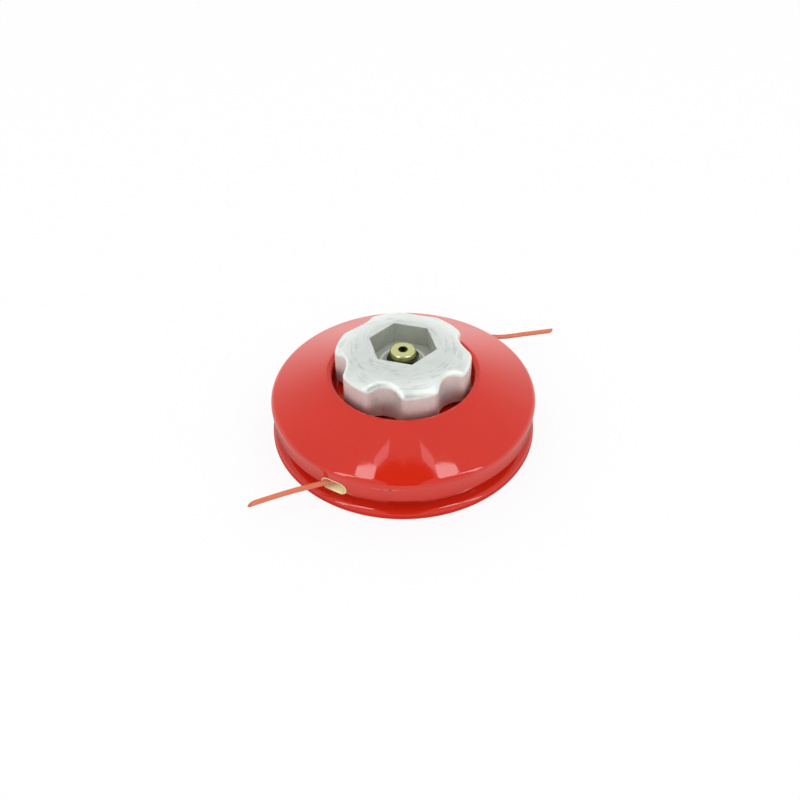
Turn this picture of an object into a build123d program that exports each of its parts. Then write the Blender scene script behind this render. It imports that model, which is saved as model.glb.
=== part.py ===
from build123d import *
import math
import os

# Trimmer head with a screw-down knob, in millimetres, lying gearbox side down.
# The origin is the centre of the base lip on the ground. +Z leaves through the knob, -Y is the front.

# Overall sizes
rim_radius = 62.6
rim_height = 22.4
skirt_low = 12.0
knob_radius = 31.6
dome_top = 50.7

# Fits
running = 0.08
line_gap = 0.27
side_gap = 0.3

# Pressed cover
sheet = 1.5
skirt_taper = 0.8
skirt_radius = rim_radius - skirt_taper
cone_slope = math.tan(math.radians(24.6))
rim_round = 3.0
opening_round = 2.0
well_round = 2.0
well_rise = 3.6
well_floor = rim_height + well_rise
well_clearance = 1.6
well_radius = knob_radius + well_clearance

# Cast housing
lip_reach = 0.1
lip_radius = rim_radius + lip_reach
lip_top = 4.6
lip_width = 4.1
lip_round = 2.1
wall_radius = skirt_radius - sheet - side_gap
groove_depth = 3.0
groove_radius = wall_radius - groove_depth
groove_wall = 2.6
inner_radius = groove_radius - groove_wall
groove_low = 6.4
groove_high = 8.6
groove_round = 1.5
shoulder_rise = 0.4
corner_room = 2.2
corner_bevel = 1.6
wall_draft = 1.0
wall_rise = 1.6
floor_under = 3.0
floor_top = 5.5
boss_radius = 16.5
boss_round = 1.0
boss_base = 1.4
boss_top = 14.0
pad_width = 1.5
pad_slope = 0.6
rib_width = 2.6
rib_count = 6
rib_overlap = 0.5

# Line, its exits and its eyelets
line_radius = 1.2
row_count = 5
exit_azimuths = {"front": -120, "rear": 60}
exit_rise = 1.2
exit_height = skirt_low + exit_rise
seat_depth = 0.5
exit_seat = wall_radius - seat_depth
flare_depth = 2.5
flare_width = 1.25
flare_length = 3.8
flare_edge = 0.2
eyelet_front = exit_seat + flare_depth
clinch = 0.7
eyelet_back = groove_radius - clinch
eyelet_bore = 1.7
eyelet_tube = 2.7
eyelet_lip = 3.2
lip_fit = 0.1
line_rise = 0.3
line_height = exit_height + line_rise
joint_inset = 1.4
joint_radial = eyelet_front - joint_inset
joint_shift = 2.85
mouth_gap = 0.6
lead_length = 8.0
tip_cut = 2.6
tip_slope = 1.1
tip_side = 0.9

# Arbor and what it carries
gearbox_radius = 5.0
gearbox_depth = 15.4
arbor_hex = 22.0
hex_fit = 0.15
arbor_base = 1.6
hex_top = 8.1
journal_radius = 8.5
journal_stand = 0.4
journal_chamfer = 1.0
washer_thickness = 1.2
washer_radius = 13.0
ring_depth = 0.6
ring_radius = 10.8
ring_gap = 7.0
stud_radius = 5.0
stop_gap = 1.4
tip_radius = 4.0
nut_hex = 13.0
nut_thickness = 2.8
nut_chamfer = 0.6
nut_turn = 10.0
screw_radius = 2.5
screw_length = 9.0
screw_clearance = 0.6
head_radius = 6.0
head_height = 2.9
head_round = 1.1
socket_hex = 4.0
socket_depth = 2.2

# Knob
grip_width = 8.0
clamp_radius = knob_radius - grip_width
knob_gap = 3.6
dome_rise = 4.7
knob_edge = dome_top - dome_rise
pocket_corner = 16.0
pocket_land = 1.5
pocket_depth = 10.5
pocket_floor = dome_top - pocket_depth
pocket_turn = -15.5
dome_drop = 0.9
dome_bulge = 1.0
lobe_count = 6
lobe_round = 4.0
knob_round = 3.0
land_width = 17.2
scallop_depth = 4.6
insert_wall = 3.0
insert_radius = stud_radius + insert_wall
insert_chamfer = 0.6
spigot_wall = 4.5
spigot_radius = insert_radius + spigot_wall
spigot_reach = 2.0
spigot_low = well_floor - spigot_reach
spigot_chamfer = 0.5
hollow_width = 5.5
hollow_wall = 2.2
hollow_spread = 3.5
hollow_depth = 11.0
hollow_draft = 2.0
clip_depth = 0.8
clip_thickness = 1.1
clip_reach = 1.7
clip_gap = 8.0
clip_play = 0.05
thrust_thickness = 1.5
well_play = 3.0
well_hole = spigot_radius + well_play

# Spring, spool, winding and brake
wire_radius = 0.7
spring_turns = 3
spring_side = 1.2
spring_play = 1.1
spring_radius = boss_radius + spring_play + wire_radius
spring_room = spring_radius + wire_radius + spring_side
hub_wall = 3.8
hub_radius = spring_room + hub_wall
seat_thickness = 1.2
seat_play = 0.4
spool_gap = 1.0
spool_radius = inner_radius - spool_gap
floor_play = 0.1
spool_low = floor_top + floor_play
flange_thickness = 1.8
flange_round = 0.6
spool_room = 0.6
spool_high = rim_height - spool_room
web_gap = 0.8
web_rise = 0.2
web_top = spool_high + web_rise
hole_count = 8
hole_radius = 5.0
notch_length = 8.0
notch_width = 2.8
brake_thickness = 1.1
brake_play = 1.5
brake_inner = well_hole + brake_play
brake_reach = 6.0
brake_outer = hub_radius + brake_reach
brake_land = 1.0
winding_depth = 11.72

# Path of the line, from the winding through the slot of an eyelet that is just wide enough for its lean
winding_radius = hub_radius + winding_depth
tangent_radius = winding_radius + line_gap + line_radius
joint_reach = math.hypot(joint_radial, joint_shift)
taut_length = math.sqrt(joint_reach**2 - tangent_radius**2)
lean = math.asin(tangent_radius / joint_reach) + math.atan(joint_shift / joint_radial)
mouth_shift = joint_shift + joint_inset * math.tan(lean) + line_radius / math.cos(lean)
eyelet_spread = 2 * (mouth_shift + mouth_gap - flare_width - eyelet_bore)


def cone_height(radius, depth=0.0):
    """Height of the cover's conical surface at a radius, or of the surface that lies a depth under it."""
    drop = depth / math.cos(math.atan(cone_slope))
    return rim_height + (rim_radius - radius) * cone_slope - drop


def polar(radius, azimuth, height):
    """A point given by its radius, its azimuth in degrees and its height."""
    turn = math.radians(azimuth)
    return Vector(radius * math.cos(turn), radius * math.sin(turn), height)


def exit_plane(azimuth, radius):
    """A plane across a line exit, facing outward at a radius, with its Y axis up."""
    turn = math.radians(azimuth)
    outward = (math.cos(turn), math.sin(turn), 0)
    sideways = (-math.sin(turn), math.cos(turn), 0)
    return Plane(origin=polar(radius, azimuth, exit_height), x_dir=sideways, z_dir=outward)


def rings(part, radius):
    """Circular edges of a part that have a radius, from the lowest up."""
    circles = part.edges().filter_by(GeomType.CIRCLE)
    return circles.filter_by(lambda e: round(e.radius, 2) == round(radius, 2)).sort_by(Axis.Z)


os.makedirs("parts", exist_ok=True)

# Housing: floor, ribbed underside, grooved wall and rounded base lip
seat_radius = wall_radius - corner_bevel
pad_radius = boss_radius + pad_width
rib_start = pad_radius - rib_overlap
rib_end = groove_radius + rib_overlap

with BuildPart() as housing:
    with BuildSketch(Plane.XZ):
        with BuildLine():
            Polyline(
                (journal_radius + running, boss_base),
                (pad_radius, boss_base),
                (pad_radius + pad_slope, floor_under),
                (groove_radius - pad_slope, floor_under),
                (lip_radius - lip_width, 0),
                (lip_radius, 0),
                (lip_radius, lip_top),
                (groove_radius, groove_low),
                (groove_radius, groove_high),
                (wall_radius, skirt_low + shoulder_rise),
                (wall_radius, rim_height - corner_room),
                (seat_radius, cone_height(seat_radius, sheet)),
                (groove_radius, cone_height(groove_radius, sheet)),
                (groove_radius, skirt_low + wall_rise),
                (inner_radius, groove_high + wall_draft),
                (inner_radius, floor_top),
                (boss_radius, floor_top),
                (boss_radius, boss_top),
                (journal_radius + running, boss_top),
                close=True,
            )
        make_face()
    revolve(axis=Axis.Z)
    fillet(rings(housing, lip_radius), radius=lip_round)
    fillet(rings(housing, groove_radius)[:2], radius=groove_round)
    fillet(rings(housing, boss_radius)[:1], radius=boss_round)
    # Stiffening ribs under the floor
    with BuildSketch(Plane.XY.offset(boss_base)):
        with PolarLocations(0, rib_count):
            with Locations(((rib_start + rib_end) / 2, 0)):
                Rectangle(rib_end - rib_start, rib_width)
    extrude(amount=(floor_under + floor_top) / 2 - boss_base)
    # Captive pocket for the arbor's hexagon
    with BuildSketch(Plane.XY.offset(boss_base)):
        RegularPolygon(radius=arbor_hex / 2 + hex_fit, side_count=6, major_radius=False)
    extrude(amount=hex_top - boss_base, mode=Mode.SUBTRACT)
    # Seats and holes for the two eyelets
    for azimuth in exit_azimuths.values():
        with BuildSketch(exit_plane(azimuth, exit_seat)):
            SlotCenterToCenter(eyelet_spread, 2 * (eyelet_lip + lip_fit))
        extrude(amount=flare_depth, mode=Mode.SUBTRACT)
        with BuildSketch(exit_plane(azimuth, exit_seat)):
            SlotCenterToCenter(eyelet_spread, 2 * eyelet_tube)
        extrude(amount=spool_radius - exit_seat, mode=Mode.SUBTRACT)

# Cover: one sheet bent from the skirt over the cone and down into the knob's well
with BuildPart() as cover:
    with BuildSketch(Plane.XZ):
        with BuildLine():
            skin = FilletPolyline(
                (skirt_radius, skirt_low),
                (rim_radius, rim_height),
                (well_radius, cone_height(well_radius)),
                (well_radius, well_floor),
                (well_hole, well_floor),
                radius=(rim_round, opening_round, well_round),
            )
            offset(skin, amount=sheet, side=Side.LEFT)
        make_face()
    revolve(axis=Axis.Z)
    # Notches that fit over the eyelets and key the cover to the housing
    for azimuth in exit_azimuths.values():
        with BuildSketch(exit_plane(azimuth, exit_seat)):
            SlotCenterToCenter(eyelet_spread, 2 * (eyelet_lip + side_gap))
            with Locations((0, -eyelet_lip)):
                Rectangle(eyelet_spread + 2 * (eyelet_lip + side_gap), 2 * eyelet_lip)
        extrude(amount=2 * flare_depth, mode=Mode.SUBTRACT)

# Eyelets: flared brass tubes clinched through the housing wall
eyelets = {}
for side, azimuth in exit_azimuths.items():
    with BuildPart() as eyelet:
        with BuildSketch(exit_plane(azimuth, eyelet_back)):
            SlotCenterToCenter(eyelet_spread, 2 * eyelet_tube)
        extrude(amount=eyelet_front - eyelet_back)
        with BuildSketch(exit_plane(azimuth, exit_seat)):
            SlotCenterToCenter(eyelet_spread, 2 * eyelet_lip)
        extrude(amount=eyelet_front - exit_seat)
        with BuildSketch(exit_plane(azimuth, eyelet_back)):
            SlotCenterToCenter(eyelet_spread, 2 * eyelet_bore)
        extrude(amount=eyelet_front - eyelet_back, mode=Mode.SUBTRACT)
        outward = Axis(origin=(0, 0, 0), direction=polar(1, azimuth, 0))
        mouth = eyelet.faces().sort_by(outward)[-1]
        chamfer(mouth.inner_wires()[0].edges(), length=flare_width, length2=flare_length, reference=mouth)
        fillet(eyelet.faces().sort_by(outward)[-1].outer_wire().edges(), radius=flare_edge)
    eyelets[side] = eyelet

# Arbor: captive hexagon with the gearbox thread, journal, stud and tip
journal_top = web_top + journal_stand
stop_height = pocket_floor + stop_gap
nut_top = stop_height + nut_thickness
ring_low = boss_top + washer_thickness
ring_high = ring_low + washer_thickness

with BuildPart() as arbor:
    with BuildSketch(Plane.XY.offset(arbor_base)):
        RegularPolygon(radius=arbor_hex / 2, side_count=6, major_radius=False)
    extrude(amount=hex_top - arbor_base)
    with BuildSketch(Plane.XZ):
        with BuildLine():
            Polyline(
                (0, hex_top),
                (journal_radius, hex_top),
                (journal_radius, ring_low),
                (journal_radius - ring_depth, ring_low),
                (journal_radius - ring_depth, ring_high),
                (journal_radius, ring_high),
                (journal_radius, journal_top - journal_chamfer),
                (journal_radius - journal_chamfer, journal_top),
                (stud_radius, journal_top),
                (stud_radius, stop_height),
                (tip_radius, stop_height),
                (tip_radius, nut_top),
                (0, nut_top),
                close=True,
            )
        make_face()
    revolve(axis=Axis.Z)
    with BuildSketch(Plane.XY.offset(arbor_base)):
        Circle(gearbox_radius)
    extrude(amount=gearbox_depth, mode=Mode.SUBTRACT)
    with BuildSketch(Plane.XY.offset(nut_top)):
        Circle(screw_radius)
    extrude(amount=-screw_length, mode=Mode.SUBTRACT)

# Washer and open ring that hold the arbor in the boss
with BuildPart() as arbor_washer:
    with BuildSketch(Plane.XY.offset(boss_top)):
        Circle(washer_radius)
        Circle(journal_radius + running, mode=Mode.SUBTRACT)
    extrude(amount=washer_thickness)

with BuildPart() as arbor_ring:
    with BuildSketch(Plane.XY.offset(ring_low)):
        Circle(ring_radius)
        Circle(journal_radius - ring_depth, mode=Mode.SUBTRACT)
        with Locations((0, ring_radius)):
            Rectangle(ring_gap, ring_radius, mode=Mode.SUBTRACT)
    extrude(amount=washer_thickness)

# Spring that lifts the spool against the brake ring, with ground ends
web_low = ring_high + web_gap
seat_low = web_low - seat_thickness
spring_height = seat_low - floor_top

with BuildPart() as spring:
    with BuildLine():
        coil = Helix(pitch=spring_height / spring_turns, height=spring_height, radius=spring_radius,
                     center=(0, 0, floor_top))
    with BuildSketch(Plane(origin=coil @ 0, z_dir=coil % 0)):
        Circle(wire_radius)
    sweep(path=coil)
    with BuildSketch(Plane.XY.offset(floor_top)):
        Circle(spring_room)
    extrude(amount=spring_height, mode=Mode.INTERSECT)

with BuildPart() as spring_seat:
    with BuildSketch(Plane.XY.offset(seat_low)):
        Circle(spring_room - seat_play)
        Circle(washer_radius + seat_play, mode=Mode.SUBTRACT)
    extrude(amount=seat_thickness)

# Spool: two flanges on a hub, with a web that turns on the journal
chamber_low = spool_low + flange_thickness
chamber_high = spool_high - flange_thickness
brake_low = well_floor - sheet - brake_thickness

with BuildPart() as spool:
    with BuildSketch(Plane.XZ):
        with BuildLine():
            Polyline(
                (journal_radius + running, web_low),
                (spring_room, web_low),
                (spring_room, spool_low),
                (spool_radius, spool_low),
                (spool_radius, chamber_low),
                (hub_radius, chamber_low),
                (hub_radius, chamber_high),
                (spool_radius, chamber_high),
                (spool_radius, spool_high),
                (brake_outer + brake_land, spool_high),
                (brake_outer + brake_land, brake_low),
                (brake_inner - brake_land, brake_low),
                (brake_inner - brake_land, web_top),
                (journal_radius + running, web_top),
                close=True,
            )
        make_face()
    revolve(axis=Axis.Z)
    fillet(rings(spool, spool_radius), radius=flange_round)
    # Lightening holes through both flanges and parking notches in the upper edge
    with BuildSketch(Plane.XY.offset(spool_low)):
        with PolarLocations(spool_radius - 1.8 * hole_radius, hole_count):
            Circle(hole_radius)
    extrude(amount=spool_high - spool_low, mode=Mode.SUBTRACT)
    with BuildSketch(Plane.XY.offset(chamber_high)):
        with PolarLocations(spool_radius, 2, start_angle=180 / hole_count):
            SlotCenterToCenter(notch_length, notch_width)
    extrude(amount=flange_thickness, mode=Mode.SUBTRACT)
    # Cross hole that takes the middle of the line
    with BuildSketch(Plane.XZ):
        with Locations((0, line_height)):
            Circle(notch_width / 2)
    extrude(amount=hub_radius + hub_wall, both=True, mode=Mode.SUBTRACT)

# Brake ring bonded to the top of the spool
with BuildPart() as brake_ring:
    with BuildSketch(Plane.XY.offset(brake_low)):
        Circle(brake_outer)
        Circle(brake_inner, mode=Mode.SUBTRACT)
    extrude(amount=brake_thickness)

# Winding: both ends of the line wound together, in rows that touch the flanges
row_pitch = (chamber_high - chamber_low) / row_count
row_centre = winding_radius - row_pitch / 2

with BuildPart() as winding:
    with BuildSketch(Plane.XZ):
        with Locations(((hub_radius + row_centre) / 2, (chamber_low + chamber_high) / 2)):
            Rectangle(row_centre - hub_radius, chamber_high - chamber_low)
        for row in range(row_count):
            with Locations((row_centre, chamber_low + (row + 0.5) * row_pitch)):
                Circle(row_pitch / 2)
    revolve(axis=Axis.Z)

# Taut stretches of line from the winding to each eyelet
inner_lines = {}
leads = {}
for side, azimuth in exit_azimuths.items():
    joint = polar(joint_radial, azimuth, line_height) + polar(joint_shift, azimuth - 90, 0)
    heading = polar(1, azimuth - math.degrees(lean), 0)
    leads[side] = (joint, heading, Vector(0, 0, 1).cross(heading))
    with BuildPart() as stretch:
        with BuildSketch(Plane(origin=joint, z_dir=heading)):
            Circle(line_radius)
        extrude(amount=-taut_length)
    inner_lines[side] = stretch

# Free line ends: each route in steps ahead, to the left and up from its joint in the eyelet
routes = {
    "front": [(0, 0, 0), (lead_length, 0, 0), (22.3, -0.4, -0.6), (38.7, 0.7, -1.1)],
    "rear": [(0, 0, 0), (lead_length, 0, 0), (18.7, -1.7, -2.9), (34.0, -2.2, -3.9), (48.9, -4.1, -4.3)],
}


def bend_radii(points):
    """Bend radii that take 0.45 of the shorter run at each inner point of a route."""
    radii = []
    for before, here, after in zip(points, points[1:], points[2:]):
        arriving = Vector(here) - Vector(before)
        leaving = Vector(after) - Vector(here)
        half_turn = math.radians(arriving.get_angle(leaving)) / 2
        run = min(arriving.length, leaving.length)
        radii.append(round(0.45 * run / math.tan(half_turn), 1))
    return radii


line_ends = {}
for side, steps in routes.items():
    joint, ahead, left = leads[side]
    points = [joint + ahead * step[0] + left * step[1] + Vector(0, 0, step[2]) for step in steps]
    radii = bend_radii(points)
    print("line end", side, "bend radii", radii)
    with BuildPart() as end:
        with BuildLine():
            path = FilletPolyline(*points, radius=tuple(radii))
        print("line end", side, "length", round(path.length, 1))
        with BuildSketch(Plane(origin=path @ 0, z_dir=path % 0)):
            Circle(line_radius)
        sweep(path=path)
        # Slanting cut across the tip
        slant = (path % 1) - Vector(0, 0, tip_slope) - left * tip_side
        split(bisect_by=Plane(origin=path @ 1 - (path % 1) * tip_cut, z_dir=slant), keep=Keep.BOTTOM)
    line_ends[side] = end

# Knob: domed, lobed casting with a hexagonal pocket and a spigot
clip_low = well_floor - clip_play - clip_thickness
knob_floor = well_floor + thrust_thickness
knob_low = well_floor + knob_gap
pocket_rim = pocket_corner + pocket_land
dome_low = knob_edge - dome_drop
dome_middle = ((knob_radius + pocket_rim) / 2, (dome_low + dome_top) / 2 + dome_bulge)
clip_floor = spigot_radius - clip_depth

# The profile is turned to the middle of a scallop, which cuts the seam of the turned face away
scallop_turn = pocket_turn + 180 / lobe_count
profile_plane = Plane(origin=(0, 0, 0), x_dir=polar(1, scallop_turn, 0), z_dir=polar(1, scallop_turn - 90, 0))

# Scallop radius that leaves the land width on the outer circle at the scallop depth
half_scallop = math.radians(180 / lobe_count) - math.asin(land_width / 2 / knob_radius)
scallop_rise = scallop_depth - knob_radius * (1 - math.cos(half_scallop))
scallop_chord = knob_radius * math.sin(half_scallop)
scallop_radius = (scallop_rise**2 + scallop_chord**2) / (2 * scallop_rise)

with BuildPart() as knob:
    with BuildSketch(profile_plane):
        with BuildLine():
            Polyline(
                (pocket_rim, dome_top),
                (0, dome_top),
                (0, spigot_low),
                (spigot_radius - spigot_chamfer, spigot_low),
                (spigot_radius, spigot_low + spigot_chamfer),
                (spigot_radius, knob_floor),
                (clamp_radius, knob_floor),
                (clamp_radius, knob_low),
                (knob_radius, knob_low),
                (knob_radius, dome_low),
            )
            ThreePointArc((knob_radius, dome_low), dome_middle, (pocket_rim, dome_top))
        make_face()
    revolve(axis=Axis.Z)
    # Finger scallops between the lobes
    with BuildSketch(Plane.XY.offset(knob_low)):
        with PolarLocations(knob_radius - scallop_depth + scallop_radius, lobe_count, start_angle=scallop_turn):
            Circle(scallop_radius)
    extrude(amount=dome_top - knob_low, mode=Mode.SUBTRACT)
    lobe_height = knob_edge - knob_low - lobe_round
    lobe_corners = knob.edges().filter_by(Axis.Z).filter_by(lambda e: e.length > lobe_height)
    fillet(lobe_corners, radius=lobe_round)
    dome_edges = knob.faces().sort_by(Axis.Z)[-2].outer_wire().edges()
    fillet(dome_edges, radius=knob_round)
    # Hexagonal pocket
    with BuildSketch(Plane.XY.offset(pocket_floor)):
        RegularPolygon(radius=pocket_corner, side_count=6, rotation=pocket_turn)
    extrude(amount=dome_top - pocket_floor, mode=Mode.SUBTRACT)
    # Cored hollows under the lobes
    with BuildSketch(Plane.XY.offset(knob_low)):
        with PolarLocations(knob_radius - hollow_wall - hollow_width / 2, lobe_count, start_angle=pocket_turn):
            SlotCenterToCenter(hollow_spread, hollow_width, rotation=90)
    extrude(amount=hollow_depth, taper=hollow_draft, mode=Mode.SUBTRACT)
    # Bore for the threaded insert and groove for the clip
    with BuildSketch(Plane.XY.offset(spigot_low)):
        Circle(insert_radius)
    extrude(amount=pocket_floor - spigot_low, mode=Mode.SUBTRACT)
    with BuildSketch(Plane.XY.offset(clip_low - clip_play)):
        Circle(clamp_radius)
        Circle(clip_floor, mode=Mode.SUBTRACT)
    extrude(amount=clip_thickness + 2 * clip_play, mode=Mode.SUBTRACT)

with BuildPart() as knob_insert:
    with BuildSketch(Plane.XY.offset(spigot_low)):
        Circle(insert_radius)
        Circle(stud_radius + running, mode=Mode.SUBTRACT)
    extrude(amount=pocket_floor - spigot_low)
    chamfer(rings(knob_insert, stud_radius + running), length=insert_chamfer)

# Thrust washer between knob and cover, and the clip that keeps it on the spigot
with BuildPart() as thrust_washer:
    with BuildSketch(Plane.XY.offset(well_floor)):
        Circle(clamp_radius)
        Circle(spigot_radius + running, mode=Mode.SUBTRACT)
    extrude(amount=thrust_thickness)

with BuildPart() as washer_clip:
    with BuildSketch(Plane.XY.offset(clip_low)):
        Circle(spigot_radius + clip_reach)
        Circle(clip_floor, mode=Mode.SUBTRACT)
        with Locations((0, spigot_radius)):
            Rectangle(clip_gap, spigot_radius, mode=Mode.SUBTRACT)
    extrude(amount=clip_thickness)

# Stop nut on the arbor's tip, with chamfered corners
nut_face = 1.05 * nut_hex / 2
nut_corner = 1.2 * nut_hex / 2

with BuildPart() as stop_nut:
    with BuildSketch(Plane.XY.offset(stop_height)):
        RegularPolygon(radius=nut_hex / 2, side_count=6, major_radius=False, rotation=nut_turn)
        Circle(tip_radius, mode=Mode.SUBTRACT)
    extrude(amount=nut_thickness)
    with BuildSketch(Plane.XZ):
        with BuildLine():
            Polyline(
                (0, stop_height),
                (nut_face, stop_height),
                (nut_corner, stop_height + nut_chamfer),
                (nut_corner, nut_top - nut_chamfer),
                (nut_face, nut_top),
                (0, nut_top),
                close=True,
            )
        make_face()
    revolve(axis=Axis.Z, mode=Mode.INTERSECT)

# Round-headed lock screw with a hexagonal socket
with BuildPart() as lock_screw:
    with BuildSketch(Plane.XY.offset(nut_top)):
        Circle(head_radius)
    extrude(amount=head_height)
    fillet(lock_screw.edges().sort_by(Axis.Z)[-1], radius=head_round)
    with BuildSketch(Plane.XY.offset(nut_top)):
        Circle(screw_radius)
    extrude(amount=screw_clearance - screw_length)
    with BuildSketch(Plane.XY.offset(nut_top + head_height)):
        RegularPolygon(radius=socket_hex / 2, side_count=6, major_radius=False)
    extrude(amount=-socket_depth, mode=Mode.SUBTRACT)

pieces = {
    "housing": housing,
    "cover": cover,
    "eyelet_front": eyelets["front"],
    "eyelet_rear": eyelets["rear"],
    "arbor": arbor,
    "arbor_washer": arbor_washer,
    "arbor_ring": arbor_ring,
    "spring": spring,
    "spring_seat": spring_seat,
    "spool": spool,
    "brake_ring": brake_ring,
    "winding": winding,
    "inner_line_front": inner_lines["front"],
    "inner_line_rear": inner_lines["rear"],
    "line_end_front": line_ends["front"],
    "line_end_rear": line_ends["rear"],
    "knob": knob,
    "knob_insert": knob_insert,
    "thrust_washer": thrust_washer,
    "washer_clip": washer_clip,
    "stop_nut": stop_nut,
    "lock_screw": lock_screw,
}

for name, piece in pieces.items():
    piece.part.label = name
    export_step(piece.part, f"parts/{name}.step")
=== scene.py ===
"""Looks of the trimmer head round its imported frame: studio, free line ends and the finish of every piece."""

import logging
import math
from collections.abc import Mapping
from dataclasses import dataclass
from enum import Enum

import bmesh
import bpy
from mathutils import Matrix, Quaternion, Vector


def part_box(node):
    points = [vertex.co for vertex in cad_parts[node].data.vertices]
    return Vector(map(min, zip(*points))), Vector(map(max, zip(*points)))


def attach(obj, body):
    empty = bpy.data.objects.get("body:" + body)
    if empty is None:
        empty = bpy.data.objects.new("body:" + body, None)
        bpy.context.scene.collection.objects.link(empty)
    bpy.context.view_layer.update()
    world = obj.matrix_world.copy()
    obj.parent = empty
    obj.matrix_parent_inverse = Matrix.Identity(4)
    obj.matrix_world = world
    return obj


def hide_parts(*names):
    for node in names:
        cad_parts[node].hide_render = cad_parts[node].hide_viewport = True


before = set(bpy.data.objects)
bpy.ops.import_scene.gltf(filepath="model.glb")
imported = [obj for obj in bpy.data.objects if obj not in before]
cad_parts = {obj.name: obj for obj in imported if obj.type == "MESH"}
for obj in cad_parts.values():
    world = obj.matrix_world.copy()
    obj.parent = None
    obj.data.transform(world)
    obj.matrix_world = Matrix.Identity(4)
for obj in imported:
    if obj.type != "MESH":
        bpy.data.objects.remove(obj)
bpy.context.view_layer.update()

LOG = logging.getLogger("trimmer_head")
MM = 0.001

# Heights and radii of the frame that masks and patterns are placed by, in metres
KNOB_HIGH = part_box("knob")[1].z
KNOB_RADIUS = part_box("knob")[1].x
SCREW_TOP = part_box("lock_screw")[1].z

Tree = bpy.types.NodeTree
Node = bpy.types.Node
Socket = bpy.types.NodeSocket
Inputs = Mapping[str | int, object]
Steps = list[tuple[float, float, float]]
Span = tuple[float, float]

# Numbers of the Mix node's sockets: its share, its two colours and the colour that comes out, its two values
SHARE, COLOUR_A, COLOUR_B, MIXED = 0, 6, 7, 2
VALUE_A, VALUE_B = 2, 3


class Side(Enum):
    """The two line exits, by the azimuth in degrees at which each one faces."""

    FRONT = -120.0
    REAR = 60.0


def polar(radius: float, azimuth: float, height: float = 0.0) -> Vector:
    """A point given by its radius, its azimuth in degrees and its height."""
    turn = math.radians(azimuth)
    return Vector((radius * math.cos(turn), radius * math.sin(turn), height))


def linear(colour: str) -> tuple[float, float, float, float]:
    """Turns an sRGB hex colour into Blender's linear values.

    Args:
        colour: Six hex digits after a hash sign.

    Returns:
        Linear red, green and blue, and full opacity.
    """
    channels = []
    for start in (1, 3, 5):
        value = int(colour[start : start + 2], 16) / 255
        channels.append(value / 12.92 if value <= 0.04045 else ((value + 0.055) / 1.055) ** 2.4)
    return (*channels, 1.0)


def per_mm(size: float) -> float:
    """Texture scale at which a pattern repeats about every so many millimetres."""
    return 1.0 / (size * MM)


def add_node(tree: Tree, kind: str, inputs: Inputs | None = None, **settings: object) -> Node:
    """Adds one node with its settings and links.

    Args:
        tree: Node tree that takes the node.
        kind: Blender's type name of the node.
        inputs: What each input takes, by its name or number: a value, an output socket to link, or a node
            whose first output is linked.
        settings: Properties of the node itself.

    Returns:
        The new node.
    """
    node = tree.nodes.new(kind)
    for name, value in settings.items():
        setattr(node, name, value)
    for key, value in (inputs or {}).items():
        if isinstance(value, Node):
            value = value.outputs[0]
        if isinstance(value, Socket):
            tree.links.new(value, node.inputs[key])
        else:
            node.inputs[key].default_value = value
    return node


@dataclass(frozen=True)
class Bearings:
    """Where a point of a piece lies round the head's axis, as sockets in metres."""

    place: Socket
    radius: Socket
    height: Socket
    outward: Socket


def take_bearings(tree: Tree) -> Bearings:
    """Works out where a point of a piece lies in the piece's own frame, so that patterns move with it.

    Args:
        tree: The material's node tree.

    Returns:
        The point's place, its radius, its height and its direction from the axis, which has length one.
    """
    place = add_node(tree, "ShaderNodeTexCoord").outputs["Object"]
    height = add_node(tree, "ShaderNodeSeparateXYZ", {0: place}).outputs[2]
    flat = add_node(tree, "ShaderNodeVectorMath", {0: place, 1: (1.0, 1.0, 0.0)}, operation="MULTIPLY")
    radius = add_node(tree, "ShaderNodeVectorMath", {0: flat}, operation="LENGTH").outputs["Value"]
    outward = add_node(tree, "ShaderNodeVectorMath", {0: flat}, operation="NORMALIZE").outputs[0]
    return Bearings(place, radius, height, outward)


@dataclass(frozen=True)
class Finish:
    """A real material and how its surface was made, as one Blender material.

    Sizes in a finish's fields are in millimetres. A span holds a value's two ends.
    """

    name: str = "finish"

    def make(self) -> bpy.types.Material:
        """Makes the material, once for all the pieces that share it.

        Returns:
            The finished material.
        """
        made = bpy.data.materials.get(self.name)
        if made:
            return made
        material = bpy.data.materials.new(self.name)
        material.use_nodes = True
        tree = material.node_tree
        tree.nodes.clear()
        shader = add_node(tree, "ShaderNodeBsdfPrincipled")
        add_node(tree, "ShaderNodeOutputMaterial", {"Surface": shader})
        self.dress(tree, shader, take_bearings(tree))
        return material

    def dress(self, tree: Tree, shader: Node, spot: Bearings) -> None:
        """Adds the finish's colours, roughness and relief.

        Args:
            tree: The material's node tree.
            shader: Its Principled shader.
            spot: Where a point of the piece lies.
        """
        raise NotImplementedError


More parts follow.
